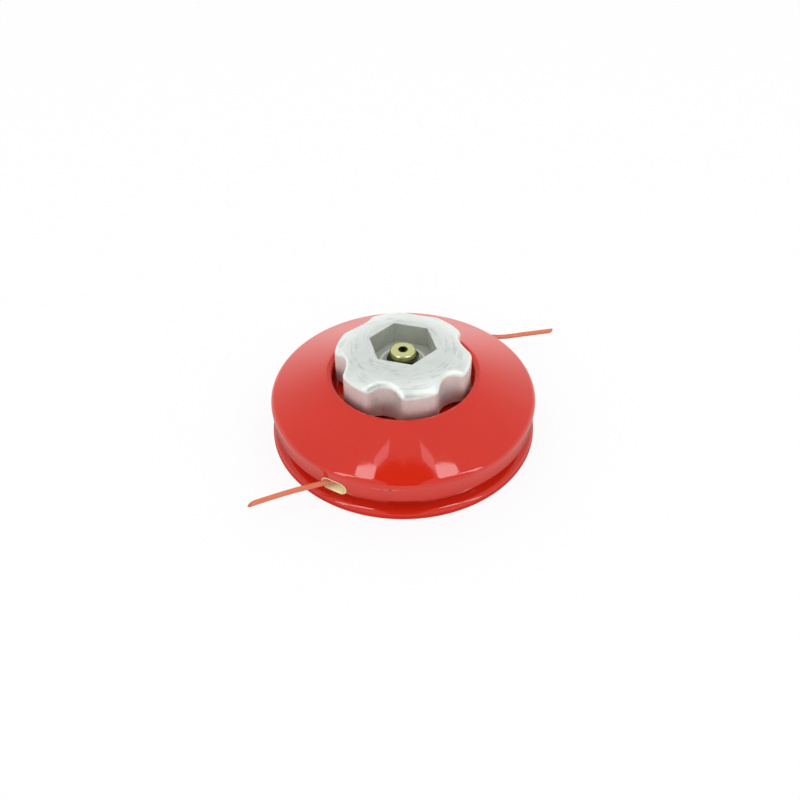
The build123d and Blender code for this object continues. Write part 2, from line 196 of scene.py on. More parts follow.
@dataclass(frozen=True)
class StovedEnamel(Finish):
    """Stoved gloss enamel, sprayed on pressed or cast metal.

    To the eye: one deep warm red under a hard clear gloss, whose mirror images waver a little with the
    spray's orange peel and with the metal under it, and on the skirt one chip, crossed by a faint painted
    highlight: a lighter level line that stands in for a reflection.
    """

    name: str = "stoved_red_enamel"
    red: str = "#D32B16"
    deep_red: str = "#C62412"
    primer: str = "#3E0F09"
    patch: float = 30.0
    peel: float = 2.4
    peel_depth: float = 0.003
    wave: float = 22.0
    wave_depth: float = 0.04
    chip: tuple[float, float, float] = (-5.93, -61.92, 19.07)
    chip_radius: float = 0.9
    chip_edge: Span = (1.1, 0.8)
    chip_grit: float = 0.6
    painted_highlight: str = "#E2836F"
    painted_highlight_reach: float = 9.0
    painted_highlight_fade: float = 0.8
    painted_highlight_width: float = 0.12
    painted_highlight_rise: float = 0.4
    painted_highlight_wander: float = 0.8
    painted_highlight_bend: float = 7.0
    painted_highlight_gap: float = 2.6
    painted_highlight_skips: Span = (0.46, 0.54)
    base_roughness: float = 0.5
    gloss_roughness: float = 0.035
    gloss_ior: float = 1.5

    def dress(self, tree: Tree, shader: Node, spot: Bearings) -> None:
        """Adds the slightly uneven red, the chip, the painted highlight line and the orange peel.

        Args:
            tree: The material's node tree.
            shader: Its Principled shader.
            spot: Where a point of the piece lies.
        """
        clouds = add_node(tree, "ShaderNodeTexNoise", {"Vector": spot.place, "Scale": per_mm(self.patch)})
        reds = {SHARE: clouds, COLOUR_A: linear(self.red), COLOUR_B: linear(self.deep_red)}
        colour = add_node(tree, "ShaderNodeMix", reds, data_type="RGBA").outputs[MIXED]

        # One chip on the skirt, ragged round its edge
        grit = {"Vector": spot.place, "Scale": per_mm(self.chip_grit), "Detail": 3.0}
        ragged = add_node(tree, "ShaderNodeTexNoise", grit)
        centre = Vector(self.chip) * MM
        apart = add_node(tree, "ShaderNodeVectorMath", {0: spot.place, 1: centre}, operation="DISTANCE")
        edge = {0: ragged, 1: self.chip_radius * MM, 2: apart.outputs["Value"]}
        depth = add_node(tree, "ShaderNodeMath", edge, operation="MULTIPLY_ADD")
        outer, inner = self.chip_edge
        limits = {"From Min": outer * self.chip_radius * MM, "From Max": inner * self.chip_radius * MM}
        limits["Value"] = depth
        bare = add_node(tree, "ShaderNodeMapRange", limits, interpolation_type="SMOOTHSTEP")
        # A faint lighter line through the chip is a painted highlight, standing in for a reflection along the
        # skirt
        painted_highlight = self.painted_highlight_share(tree, spot, apart)
        painted_highlighted = {SHARE: painted_highlight, COLOUR_A: colour, COLOUR_B: linear(self.painted_highlight)}
        colour = add_node(tree, "ShaderNodeMix", painted_highlighted, data_type="RGBA").outputs[MIXED]
        chipped = {SHARE: bare, COLOUR_A: colour, COLOUR_B: linear(self.primer)}
        colour = add_node(tree, "ShaderNodeMix", chipped, data_type="RGBA").outputs[MIXED]
        tree.links.new(colour, shader.inputs["Base Color"])

        peel = {"Vector": spot.place, "Scale": per_mm(self.peel), "Detail": 1.0}
        peel = add_node(tree, "ShaderNodeTexNoise", peel)
        fine = {"Height": peel, "Distance": self.peel_depth * MM, "Strength": 1.0}
        fine = add_node(tree, "ShaderNodeBump", fine)
        wave = {"Vector": spot.place, "Scale": per_mm(self.wave), "Detail": 0.0}
        wave = add_node(tree, "ShaderNodeTexNoise", wave)
        broad = {"Height": wave, "Distance": self.wave_depth * MM, "Strength": 1.0, "Normal": fine}
        wavy = add_node(tree, "ShaderNodeBump", broad)
        tree.links.new(wavy.outputs[0], shader.inputs["Normal"])
        tree.links.new(wavy.outputs[0], shader.inputs["Coat Normal"])
        shader.inputs["Roughness"].default_value = self.base_roughness
        shader.inputs["Specular IOR Level"].default_value = 0.0
        shader.inputs["Coat Weight"].default_value = 1.0
        shader.inputs["Coat Roughness"].default_value = self.gloss_roughness
        shader.inputs["Coat IOR"].default_value = self.gloss_ior

    def painted_highlight_share(self, tree: Tree, spot: Bearings, apart: Node) -> Socket:
        """The faint level painted highlight, a lighter line for a reflection, that runs on both sides of the
        chip, from 0 to 1.

        Args:
            tree: The material's node tree.
            spot: Where a point of the piece lies.
            apart: Node that gives the point's distance from the chip.

        Returns:
            The painted highlight's share of the colour.
        """
        wander = {"Vector": spot.place, "Scale": per_mm(self.painted_highlight_bend), "Detail": 1.0}
        wander = add_node(tree, "ShaderNodeTexNoise", wander)
        drawn = {0: wander, 1: self.painted_highlight_wander * MM, 2: spot.height}
        drawn = add_node(tree, "ShaderNodeMath", drawn, operation="MULTIPLY_ADD")
        middle = (self.chip[2] + self.painted_highlight_rise) * MM
        off = add_node(tree, "ShaderNodeMath", {0: drawn, 1: middle}, operation="SUBTRACT")
        off = add_node(tree, "ShaderNodeMath", {0: off}, operation="ABSOLUTE")
        width = {"Value": off, "From Min": self.painted_highlight_width * MM, "From Max": 0.5 * self.painted_highlight_width * MM}
        line = add_node(tree, "ShaderNodeMapRange", width, interpolation_type="SMOOTHSTEP")
        reach = {"From Min": self.painted_highlight_reach * MM, "From Max": self.painted_highlight_fade * self.painted_highlight_reach * MM}
        reach["Value"] = apart.outputs["Value"]
        near = add_node(tree, "ShaderNodeMapRange", reach, interpolation_type="SMOOTHSTEP")
        skips = {"Vector": spot.place, "Scale": per_mm(self.painted_highlight_gap), "Detail": 2.0}
        skips = add_node(tree, "ShaderNodeTexNoise", skips)
        skips = {"Value": skips, "From Min": self.painted_highlight_skips[0], "From Max": self.painted_highlight_skips[1]}
        skips = add_node(tree, "ShaderNodeMapRange", skips, interpolation_type="SMOOTHSTEP")
        share = add_node(tree, "ShaderNodeMath", {0: line, 1: near}, operation="MULTIPLY")
        return add_node(tree, "ShaderNodeMath", {0: share, 1: skips}, operation="MULTIPLY").outputs[0]


@dataclass(frozen=True)
class CastAluminium(Finish):
    """Sand cast aluminium, its domed face and lobes fettled on a lathe and by hand.

    To the eye: a pale satin metal with broken turning arcs on the face, upright file marks on the walls, and
    the dull grey skin of the casting left in the hexagonal pocket, darkened further as painted shade.
    """

    name: str = "cast_fettled_aluminium"
    bright: str = "#E6EAE7"
    satin: str = "#D6DCD8"
    mark: str = "#A3AAA6"
    skin: str = "#C8CBC1"
    skin_shade: str = "#A6A99E"
    patch: float = 5.0
    face: Span = (0.5, 0.8)
    pocket_radius: float = 16.4
    pocket_edge: float = 0.3
    pocket_drop: Span = (0.1, 0.6)
    seat: float = 10.4
    seat_width: float = 2.0
    seat_edge: Span = (0.5, 0.1)
    turning: float = 1.1
    arcs_per_radian: float = 2.6
    file_marks: float = 0.8
    file_length: float = 7.0
    mark_depth: float = 0.06
    mark_edge: Span = (0.5, 0.66)
    worn_patch: float = 7.0
    worn_edge: Span = (0.4, 0.58)
    arc_share: float = 0.38
    file_share: float = 0.2
    grain: float = 0.9
    grain_depth: float = 0.04
    metallic: Span = (0.85, 0.25)
    roughness: Span = (0.4, 0.55)

    def pocket_share(self, tree: Tree, spot: Bearings) -> Socket:
        """How far a point lies down in the hexagonal pocket.

        Args:
            tree: The material's node tree.
            spot: Where a point of the knob lies.

        Returns:
            The pocket's share, from 0 to 1.
        """
        high, low = self.pocket_drop
        limits = {"Value": spot.height, "From Min": KNOB_HIGH - high * MM, "From Max": KNOB_HIGH - low * MM}
        below = add_node(tree, "ShaderNodeMapRange", limits, interpolation_type="SMOOTHSTEP")
        edge = {"From Min": (self.pocket_radius + self.pocket_edge) * MM, "From Max": self.pocket_radius * MM}
        edge["Value"] = spot.radius
        inside = add_node(tree, "ShaderNodeMapRange", edge, interpolation_type="SMOOTHSTEP")
        return add_node(tree, "ShaderNodeMath", {0: below, 1: inside}, operation="MULTIPLY").outputs[0]

    def face_share(self, tree: Tree) -> Socket:
        """How far a point faces upward.

        Args:
            tree: The material's node tree.

        Returns:
            The face's share, from 0 on a wall to 1 on the domed face.
        """
        normal = add_node(tree, "ShaderNodeNewGeometry").outputs["Normal"]
        facing = add_node(tree, "ShaderNodeSeparateXYZ", {0: normal}).outputs[2]
        low, high = self.face
        limits = {"Value": facing, "From Min": low, "From Max": high}
        return add_node(tree, "ShaderNodeMapRange", limits, interpolation_type="SMOOTHSTEP").outputs[0]

    def seat_share(self, tree: Tree, spot: Bearings, face: Socket) -> Socket:
        """The ring on the pocket's floor that the facing tool for the nut has left bright.

        Args:
            tree: The material's node tree.
            spot: Where a point of the knob lies.
            face: How far it faces upward.

        Returns:
            The ring's share, from 0 to 1.
        """
        off = add_node(tree, "ShaderNodeMath", {0: spot.radius, 1: self.seat * MM}, operation="SUBTRACT")
        off = add_node(tree, "ShaderNodeMath", {0: off}, operation="ABSOLUTE")
        outer, inner = self.seat_edge
        width = {"From Min": outer * self.seat_width * MM, "From Max": inner * self.seat_width * MM}
        width["Value"] = off
        ring = add_node(tree, "ShaderNodeMapRange", width, interpolation_type="SMOOTHSTEP")
        return add_node(tree, "ShaderNodeMath", {0: ring, 1: face}, operation="MULTIPLY").outputs[0]

    def strokes(
        self, tree: Tree, spot: Bearings, round_scale: float, along: Socket, along_scale: float
    ) -> Socket:
        """Depths of a tool's broken strokes, drawn out either round the axis or along another way.

        Args:
            tree: The material's node tree.
            spot: Where a point of the knob lies.
            round_scale: How many strokes lie side by side in a radian.
            along: Distance in metres in the other direction.
            along_scale: How many strokes lie side by side in a metre of it.

        Returns:
            The depths, from 0 to 1.
        """
        about = {0: spot.outward, "Scale": round_scale}
        about = add_node(tree, "ShaderNodeVectorMath", about, operation="SCALE")
        step = add_node(tree, "ShaderNodeMath", {0: along, 1: along_scale}, operation="MULTIPLY")
        step = add_node(tree, "ShaderNodeCombineXYZ", {2: step})
        place = add_node(tree, "ShaderNodeVectorMath", {0: about, 1: step}, operation="ADD")
        drawn = {"Vector": place, "Scale": 1.0, "Detail": 2.0, "Roughness": 0.6}
        drawn = add_node(tree, "ShaderNodeTexNoise", drawn)
        drawn = {"Value": drawn, "From Min": self.mark_edge[0], "From Max": self.mark_edge[1]}
        drawn = add_node(tree, "ShaderNodeMapRange", drawn, interpolation_type="SMOOTHSTEP")
        worn = {"Vector": spot.place, "Scale": per_mm(self.worn_patch), "Detail": 2.0}
        worn = add_node(tree, "ShaderNodeTexNoise", worn)
        spread = {"Value": worn, "From Min": self.worn_edge[0], "From Max": self.worn_edge[1]}
        patches = add_node(tree, "ShaderNodeMapRange", spread, interpolation_type="SMOOTHSTEP")
        return add_node(tree, "ShaderNodeMath", {0: drawn, 1: patches}, operation="MULTIPLY").outputs[0]

    def dress(self, tree: Tree, shader: Node, spot: Bearings) -> None:
        """Adds the turned face, the filed walls and the raw pocket, darkened as painted shade.

        Args:
            tree: The material's node tree.
            shader: Its Principled shader.
            spot: Where a point of the piece lies.
        """
        pocket = self.pocket_share(tree, spot)
        face = self.face_share(tree)
        walls = add_node(tree, "ShaderNodeMath", {0: 1.0, 1: face}, operation="SUBTRACT")
        bare = add_node(tree, "ShaderNodeMath", {0: 1.0, 1: pocket}, operation="SUBTRACT")
        # The lathe's feed is finer than the render can show, so its arcs are drawn about twice as coarse
        arcs = self.strokes(tree, spot, self.arcs_per_radian, spot.radius, per_mm(self.turning))
        arcs = add_node(tree, "ShaderNodeMath", {0: arcs, 1: face}, operation="MULTIPLY")
        arcs = add_node(tree, "ShaderNodeMath", {0: arcs, 1: self.arc_share}, operation="MULTIPLY")
        across = KNOB_RADIUS * per_mm(self.file_marks)
        filed = self.strokes(tree, spot, across, spot.height, per_mm(self.file_length))
        filed = add_node(tree, "ShaderNodeMath", {0: filed, 1: walls}, operation="MULTIPLY")
        filed = add_node(tree, "ShaderNodeMath", {0: filed, 1: self.file_share}, operation="MULTIPLY")
        marks = add_node(tree, "ShaderNodeMath", {0: arcs, 1: filed}, operation="ADD")
        marks = add_node(tree, "ShaderNodeMath", {0: marks, 1: bare}, operation="MULTIPLY")

        clouds = {"Vector": spot.place, "Scale": per_mm(self.patch), "Detail": 4.0}
        clouds = add_node(tree, "ShaderNodeTexNoise", clouds)
        metal = {SHARE: clouds, COLOUR_A: linear(self.satin), COLOUR_B: linear(self.bright)}
        metal = add_node(tree, "ShaderNodeMix", metal, data_type="RGBA").outputs[MIXED]
        marked = {SHARE: marks, COLOUR_A: metal, COLOUR_B: linear(self.mark)}
        marked = add_node(tree, "ShaderNodeMix", marked, data_type="RGBA").outputs[MIXED]
        # The pocket's darker greys are partly the casting's skin and partly painted shade for the recess
        skin = {SHARE: clouds, COLOUR_A: linear(self.skin_shade), COLOUR_B: linear(self.skin)}
        skin = add_node(tree, "ShaderNodeMix", skin, data_type="RGBA").outputs[MIXED]
        faced = {SHARE: self.seat_share(tree, spot, face), COLOUR_A: skin, COLOUR_B: linear(self.bright)}
        skin = add_node(tree, "ShaderNodeMix", faced, data_type="RGBA").outputs[MIXED]
        colour = {SHARE: pocket, COLOUR_A: marked, COLOUR_B: skin}
        colour = add_node(tree, "ShaderNodeMix", colour, data_type="RGBA")
        tree.links.new(colour.outputs[MIXED], shader.inputs["Base Color"])

        # The skin of the casting is an oxide, which spreads light where the cut metal mirrors it
        oxide = {"Value": pocket, "To Min": self.metallic[0], "To Max": self.metallic[1]}
        oxide = add_node(tree, "ShaderNodeMapRange", oxide)
        tree.links.new(oxide.outputs[0], shader.inputs["Metallic"])
        dull = {"Value": clouds, "To Min": self.roughness[0], "To Max": self.roughness[1]}
        dull = add_node(tree, "ShaderNodeMapRange", dull)
        tree.links.new(dull.outputs[0], shader.inputs["Roughness"])

        grain = {"Vector": spot.place, "Scale": per_mm(self.grain), "Detail": 4.0}
        grain = add_node(tree, "ShaderNodeTexNoise", grain)
        sandy = {"Height": grain, "Distance": self.grain_depth * MM, "Strength": 1.0}
        sandy = add_node(tree, "ShaderNodeBump", sandy)
        cut = {"Height": marks, "Distance": self.mark_depth * MM, "Strength": 1.0, "Normal": sandy}
        cut = add_node(tree, "ShaderNodeBump", cut, invert=True)
        tree.links.new(cut.outputs[0], shader.inputs["Normal"])


@dataclass(frozen=True)
class TurnedMetal(Finish):
    """Metal turned on a lathe, bare or under a thin plating.

    To the eye: fine rings round the axis over a clean metal colour that drifts a little in tone.
    """

    name: str = "turned_metal"
    tone: str = "#B8B8B6"
    second_tone: str = "#9C9C9A"
    patch: float = 4.0
    ring: float = 0.5
    ring_depth: float = 0.01
    low_roughness: float = 0.25
    high_roughness: float = 0.4
    metallic: float = 1.0

    def dress(self, tree: Tree, shader: Node, spot: Bearings) -> None:
        """Adds the drifting tone and the rings of the tool.

        Args:
            tree: The material's node tree.
            shader: Its Principled shader.
            spot: Where a point of the piece lies.
        """
        clouds = {"Vector": spot.place, "Scale": per_mm(self.patch), "Detail": 3.0}
        clouds = add_node(tree, "ShaderNodeTexNoise", clouds)
        tones = {SHARE: clouds, COLOUR_A: linear(self.tone), COLOUR_B: linear(self.second_tone)}
        colour = add_node(tree, "ShaderNodeMix", tones, data_type="RGBA").outputs[MIXED]
        tree.links.new(self.paint_shade(tree, colour, spot), shader.inputs["Base Color"])
        sheen = {"Value": clouds, "To Min": self.low_roughness, "To Max": self.high_roughness}
        tree.links.new(add_node(tree, "ShaderNodeMapRange", sheen).outputs[0], shader.inputs["Roughness"])
        shader.inputs["Metallic"].default_value = self.metallic
        # A tool's feed is finer than the render can show, so its rings are drawn a few times as coarse
        along = add_node(tree, "ShaderNodeMath", {0: spot.radius, 1: spot.height}, operation="ADD")
        feed = add_node(tree, "ShaderNodeMath", {0: along, 1: per_mm(self.ring)}, operation="MULTIPLY")
        rings = {"W": feed, "Scale": 1.0, "Detail": 2.0}
        rings = add_node(tree, "ShaderNodeTexNoise", rings, noise_dimensions="1D")
        cut = {"Height": rings, "Distance": self.ring_depth * MM, "Strength": 1.0}
        tree.links.new(add_node(tree, "ShaderNodeBump", cut).outputs[0], shader.inputs["Normal"])

    def paint_shade(self, tree: Tree, colour: Socket, spot: Bearings) -> Socket:
        """The colour as it is. A finish with painted shade changes it."""
        return colour


@dataclass(frozen=True)
class YellowZinc(TurnedMetal):
    """Steel, zinc plated and passivated yellow.

    To the eye: a pale straw metal with a green cast, with painted shade in the key socket and round its mouth.
    """

    name: str = "yellow_zinc_plate"
    tone: str = "#E2E3A2"
    second_tone: str = "#CDD398"
    patch: float = 2.5
    socket_shade: str = "#26280A"
    socket_radius: float = 1.7
    socket_edge: float = 0.1
    socket_drop: Span = (0.02, 0.15)
    mouth_shade_radius: float = 2.7

    def paint_shade(self, tree: Tree, colour: Socket, spot: Bearings) -> Socket:
        """Paints shade into the key socket and onto its edge.

        Args:
            tree: The material's node tree.
            colour: Colour of the clean plating.
            spot: Where a point of the screw lies.

        Returns:
            The colour with the painted shade.
        """
        # The socket's inside and the face round its mouth are painted dark, as shade
        high, low = self.socket_drop
        depth = {"Value": spot.height, "From Min": SCREW_TOP - high * MM, "From Max": SCREW_TOP - low * MM}
        below = add_node(tree, "ShaderNodeMapRange", depth, interpolation_type="SMOOTHSTEP")
        edge = {"From Min": (self.socket_radius + self.socket_edge) * MM, "From Max": self.socket_radius * MM}
        edge["Value"] = spot.radius
        inside = add_node(tree, "ShaderNodeMapRange", edge, interpolation_type="SMOOTHSTEP")
        socket_shaded = add_node(tree, "ShaderNodeMath", {0: below, 1: inside}, operation="MULTIPLY")
        rim = {"Value": spot.radius, "From Min": self.mouth_shade_radius * MM, "From Max": self.socket_radius * MM}
        mouth_shade = add_node(tree, "ShaderNodeMapRange", rim, interpolation_type="SMOOTHSTEP")
        socket_shaded = add_node(tree, "ShaderNodeMath", {0: socket_shaded, 1: mouth_shade}, operation="MAXIMUM")
        paint_shaded = {SHARE: socket_shaded, COLOUR_A: colour, COLOUR_B: linear(self.socket_shade)}
        return add_node(tree, "ShaderNodeMix", paint_shaded, data_type="RGBA").outputs[MIXED]


@dataclass(frozen=True)
class MouldedNylon(Finish):
    """Glass filled nylon, injection moulded.

    To the eye: near black with a soft sheen and the faint grain of the mould.
    """

    name: str = "moulded_black_nylon"
    tone: str = "#1B1B1C"
    second_tone: str = "#262627"
    patch: float = 6.0
    grain: float = 0.6
    grain_depth: float = 0.02
    roughness: float = 0.48
    roughness_drift: float = 0.06

    def dress(self, tree: Tree, shader: Node, spot: Bearings) -> None:
        """Adds the mottled black and the grain.

        Args:
            tree: The material's node tree.
            shader: Its Principled shader.
            spot: Where a point of the piece lies.
        """
        clouds = {"Vector": spot.place, "Scale": per_mm(self.patch), "Detail": 3.0}
        clouds = add_node(tree, "ShaderNodeTexNoise", clouds)
        tones = {SHARE: clouds, COLOUR_A: linear(self.tone), COLOUR_B: linear(self.second_tone)}
        colour = add_node(tree, "ShaderNodeMix", tones, data_type="RGBA")
        tree.links.new(colour.outputs[MIXED], shader.inputs["Base Color"])
        drift = self.roughness_drift
        sheen = {"Value": clouds, "To Min": self.roughness - drift, "To Max": self.roughness + drift}
        tree.links.new(add_node(tree, "ShaderNodeMapRange", sheen).outputs[0], shader.inputs["Roughness"])
        grain = {"Vector": spot.place, "Scale": per_mm(self.grain), "Detail": 4.0}
        grain = add_node(tree, "ShaderNodeTexNoise", grain)
        mould = {"Height": grain, "Distance": self.grain_depth * MM, "Strength": 1.0}
        tree.links.new(add_node(tree, "ShaderNodeBump", mould).outputs[0], shader.inputs["Normal"])


@dataclass(frozen=True)
class ExtrudedNylonLine(Finish):
    """Nylon trimmer line, coloured in the mass and extruded.

    To the eye: a waxy, slightly see-through orange red with faint streaks along its length.
    """

    name: str = "extruded_nylon_line"
    tone: str = "#DF7E5E"
    second_tone: str = "#CF6A4B"
    streak: float = 2.0
    score: float = 0.7
    score_depth: float = 0.01
    roughness: float = 0.32
    glow_share: float = 0.25
    glow_reach: tuple[float, float, float] = (1.2, 0.4, 0.2)

    def dress(self, tree: Tree, shader: Node, spot: Bearings) -> None:
        """Adds the streaked colour and the light that passes through the line.

        Args:
            tree: The material's node tree.
            shader: Its Principled shader.
            spot: Where a point of the piece lies.
        """
        clouds = {"Vector": spot.place, "Scale": per_mm(self.streak), "Detail": 3.0}
        clouds = add_node(tree, "ShaderNodeTexNoise", clouds)
        tones = {SHARE: clouds, COLOUR_A: linear(self.tone), COLOUR_B: linear(self.second_tone)}
        colour = add_node(tree, "ShaderNodeMix", tones, data_type="RGBA")
        tree.links.new(colour.outputs[MIXED], shader.inputs["Base Color"])
        shader.inputs["Roughness"].default_value = self.roughness
        shader.inputs["Subsurface Weight"].default_value = self.glow_share
        shader.inputs["Subsurface Radius"].default_value = [reach * MM for reach in self.glow_reach]
        shader.inputs["Subsurface Scale"].default_value = 1.0
        scores = {"Vector": spot.place, "Scale": per_mm(self.score), "Detail": 2.0}
        scores = add_node(tree, "ShaderNodeTexNoise", scores)
        scored = {"Height": scores, "Distance": self.score_depth * MM, "Strength": 1.0}
        tree.links.new(add_node(tree, "ShaderNodeBump", scored).outputs[0], shader.inputs["Normal"])


# Finishes that several sub-assemblies share
ZINC_PLATE = TurnedMetal(name="bright_zinc_plate", tone="#C4C7C9", second_tone="#AEB3B6", patch=3.0)
SPRING_STEEL = TurnedMetal(name="drawn_spring_steel", tone="#6E6E72", second_tone="#55555A", ring=0.9)
TURNED_STEEL = TurnedMetal(name="turned_steel", tone="#A9A9A7", second_tone="#8E8E8C")


@dataclass(frozen=True)
class SoftBox:
    """A soft box that hangs level over the head: the middle of its rear edge, its size and its turn.

    Lengths are in metres and turns in degrees.
    """

    name: str
    rear: tuple[float, float]
    width: float
    turn: float
    length: float = 0.35
    height: float = 1.0
    brightness: float = 5.2

    def stance(self) -> tuple[Vector, Quaternion]:
        """Works out where the lamp hangs.

        Returns:
            The middle of its face, and its turn.
        """
        turn = Matrix.Rotation(math.radians(self.turn), 3, "Z").to_quaternion()
        middle = Vector((*self.rear, self.height)) + turn @ Vector((0.0, -self.length / 2, 0.0))
        return middle, turn

    def hang(self) -> bpy.types.Object:
        """Hangs the lamp, with the power that gives its face its brightness, where 1 is white.

        Returns:
            The lamp.
        """
        data = bpy.data.lights.new(self.name, "AREA")
        data.shape = "RECTANGLE"
        data.size = self.width
        data.size_y = self.length
        data.energy = self.brightness * math.pi * self.width * self.length
        lamp = bpy.data.objects.new(self.name, data)
        lamp.rotation_mode = "QUATERNION"
        lamp.location, lamp.rotation_quaternion = self.stance()
        bpy.context.scene.collection.objects.link(lamp)
        return lamp


@dataclass(frozen=True)
class RimBox(SoftBox):
    """A narrow soft box that leans over the head from one side, for the bright lines along round edges."""

    rear: tuple[float, float] = (0.0, 0.0)
    width: float = 0.15
    turn: float = 0.0
    length: float = 1.1
    azimuth: float = -138.0
    elevation: float = 35.0
    distance: float = 1.2

    def stance(self) -> tuple[Vector, Quaternion]:
        """Works out where the lamp hangs and how it is turned to face the head.

        Returns:
            The middle of its face, and its turn.
        """
        tilt = math.radians(self.elevation)
        middle = polar(self.distance * math.cos(tilt), self.azimuth, self.distance * math.sin(tilt))
        return middle, middle.to_track_quat("Z", "Y")

    def hang(self) -> bpy.types.Object:
        """Hangs the lamp so that it is mirrored in the head and adds no light to its colours.

        Returns:
            The lamp.
        """
        lamp = super().hang()
        lamp.visible_diffuse = False
        return lamp


@dataclass
class Studio:
    """White sweep, soft light and the camera.

    Lengths are in metres and turns in degrees. Levels say how bright something is, where 1 is white. The
    gap is the unlit part of the ceiling that the enamel mirrors: its half width, its rear edge and that
    edge's bend, as directions seen from the head. The card's two spans are the radii between which its
    mirror image rises, from the shade close to the head to white, and from white to the level of the sweep.
    """

    name: str = "studio"
    centre: tuple[float, float, float] = (0.0, 0.0, 0.022)
    distance: float = 0.5
    elevation: float = 40.64
    roll: float = -0.33
    lens: float = 47.5
    shift_x: float = -0.004
    shift_y: float = -0.011
    floor_half: float = 3.0
    zenith: float = 0.85
    horizon: float = 1.15
    gap_half: float = 0.2
    gap_rear: float = -0.066
    gap_bend: float = 0.11
    gap_side_blur: float = 0.015
    gap_rear_blur: float = 0.006
    gap_level: float = 0.02
    sweep_rise: Span = (0.75, 0.0)
    sweep_behind: Span = (-0.2, 0.4)
    overhead: float = 0.75
    backdrop: float = 1.4
    card_shade: float = 0.2
    card_near: Span = (0.064, 0.077)
    card_far: Span = (0.1, 0.3)
    card_white: float = 0.88
    boxes: tuple[SoftBox, ...] = (
        SoftBox("soft_box_left", rear=(-0.2685, -0.071), width=0.146, turn=-18.3),
        SoftBox("soft_box_right", rear=(0.3095, -0.0565), width=0.163, turn=20.4),
        SoftBox("spill_left", rear=(-0.175, -0.076), width=0.1, turn=0.0, length=0.021, brightness=1.6),
        SoftBox("spill_right", rear=(0.19, -0.073), width=0.09, turn=0.0, length=0.024, brightness=1.6),
        RimBox("rim_box_left", azimuth=-138.5),
        RimBox("rim_box_right", azimuth=-33.0),
    )

    def place_camera(self) -> None:
        """Sets the camera at the angle from which the head is shown."""
        tilt = math.radians(self.elevation)
        away = Vector((0.0, -math.cos(tilt), math.sin(tilt)))
        data = bpy.data.cameras.new("camera")
        data.lens = self.lens
        data.shift_x = self.shift_x
        data.shift_y = self.shift_y
        data.clip_start = 0.01
        camera = bpy.data.objects.new("camera", data)
        camera.rotation_mode = "QUATERNION"
        camera.location = Vector(self.centre) + away * self.distance
        turn = Matrix.Rotation(math.radians(self.roll), 3, "Z").to_quaternion()
        camera.rotation_quaternion = (-away).to_track_quat("-Z", "Y") @ turn
        bpy.context.scene.collection.objects.link(camera)
        bpy.context.scene.camera = camera

    def light_surroundings(self) -> None:
        """Makes a white room with an unlit gap in its ceiling, between the soft boxes and before the head."""
        world = bpy.data.worlds.new("white_room")
        bpy.context.scene.world = world
        world.use_nodes = True
        tree = world.node_tree
        tree.nodes.clear()
        path = add_node(tree, "ShaderNodeLightPath")
        way = add_node(tree, "ShaderNodeTexCoord").outputs["Generated"]
        along = add_node(tree, "ShaderNodeSeparateXYZ", {0: way})
        sideways = add_node(tree, "ShaderNodeMath", {0: along.outputs[0]}, operation="ABSOLUTE")
        blur = self.gap_side_blur
        narrow = {"Value": sideways, "From Min": self.gap_half + blur, "From Max": self.gap_half - blur}
        narrow = add_node(tree, "ShaderNodeMapRange", narrow, interpolation_type="SMOOTHSTEP")
        # The gap's rear edge bends toward the head at its ends
        bent = {0: sideways, 1: -self.gap_bend, 2: along.outputs[1]}
        bent = add_node(tree, "ShaderNodeMath", bent, operation="MULTIPLY_ADD")
        blur = self.gap_rear_blur
        before = {"Value": bent, "From Min": self.gap_rear + blur, "From Max": self.gap_rear - blur}
        before = add_node(tree, "ShaderNodeMapRange", before, interpolation_type="SMOOTHSTEP")
        unlit = add_node(tree, "ShaderNodeMath", {0: narrow, 1: before}, operation="MULTIPLY")
        # The mirrored room is dimmer overhead than at the lit sweep, low down behind the head
        high, flat = self.sweep_rise
        low = {"Value": along.outputs[2], "From Min": high, "From Max": flat}
        low = add_node(tree, "ShaderNodeMapRange", low, interpolation_type="SMOOTHSTEP")
        start, end = self.sweep_behind
        behind = {"Value": along.outputs[1], "From Min": start, "From Max": end}
        behind = add_node(tree, "ShaderNodeMapRange", behind, interpolation_type="SMOOTHSTEP")
        swept = add_node(tree, "ShaderNodeMath", {0: low, 1: behind}, operation="MULTIPLY")
        swept = {"Value": swept, "To Min": self.overhead, "To Max": self.backdrop}
        swept = add_node(tree, "ShaderNodeMapRange", swept)
        mirrored = {SHARE: unlit, VALUE_A: swept, VALUE_B: self.gap_level}
        mirrored = add_node(tree, "ShaderNodeMix", mirrored, data_type="FLOAT")
        level = {"Value": along.outputs[2], "To Min": self.horizon, "To Max": self.zenith}
        level = add_node(tree, "ShaderNodeMapRange", level)
        strength = {SHARE: path.outputs["Is Glossy Ray"], VALUE_A: level, VALUE_B: mirrored}
        strength = add_node(tree, "ShaderNodeMix", strength, data_type="FLOAT")
        room = add_node(tree, "ShaderNodeBackground", {"Color": linear("#FFFFFF"), "Strength": strength})
        white = add_node(tree, "ShaderNodeBackground", {"Color": linear("#FFFFFF"), "Strength": 1.0})
        clear = {0: path.outputs["Is Camera Ray"], 1: path.outputs["Is Transmission Ray"]}
        clear = add_node(tree, "ShaderNodeMath", clear, operation="MAXIMUM")
        shown = add_node(tree, "ShaderNodeMixShader", {0: clear, 1: room, 2: white})
        add_node(tree, "ShaderNodeOutputWorld", {"Surface": shown})

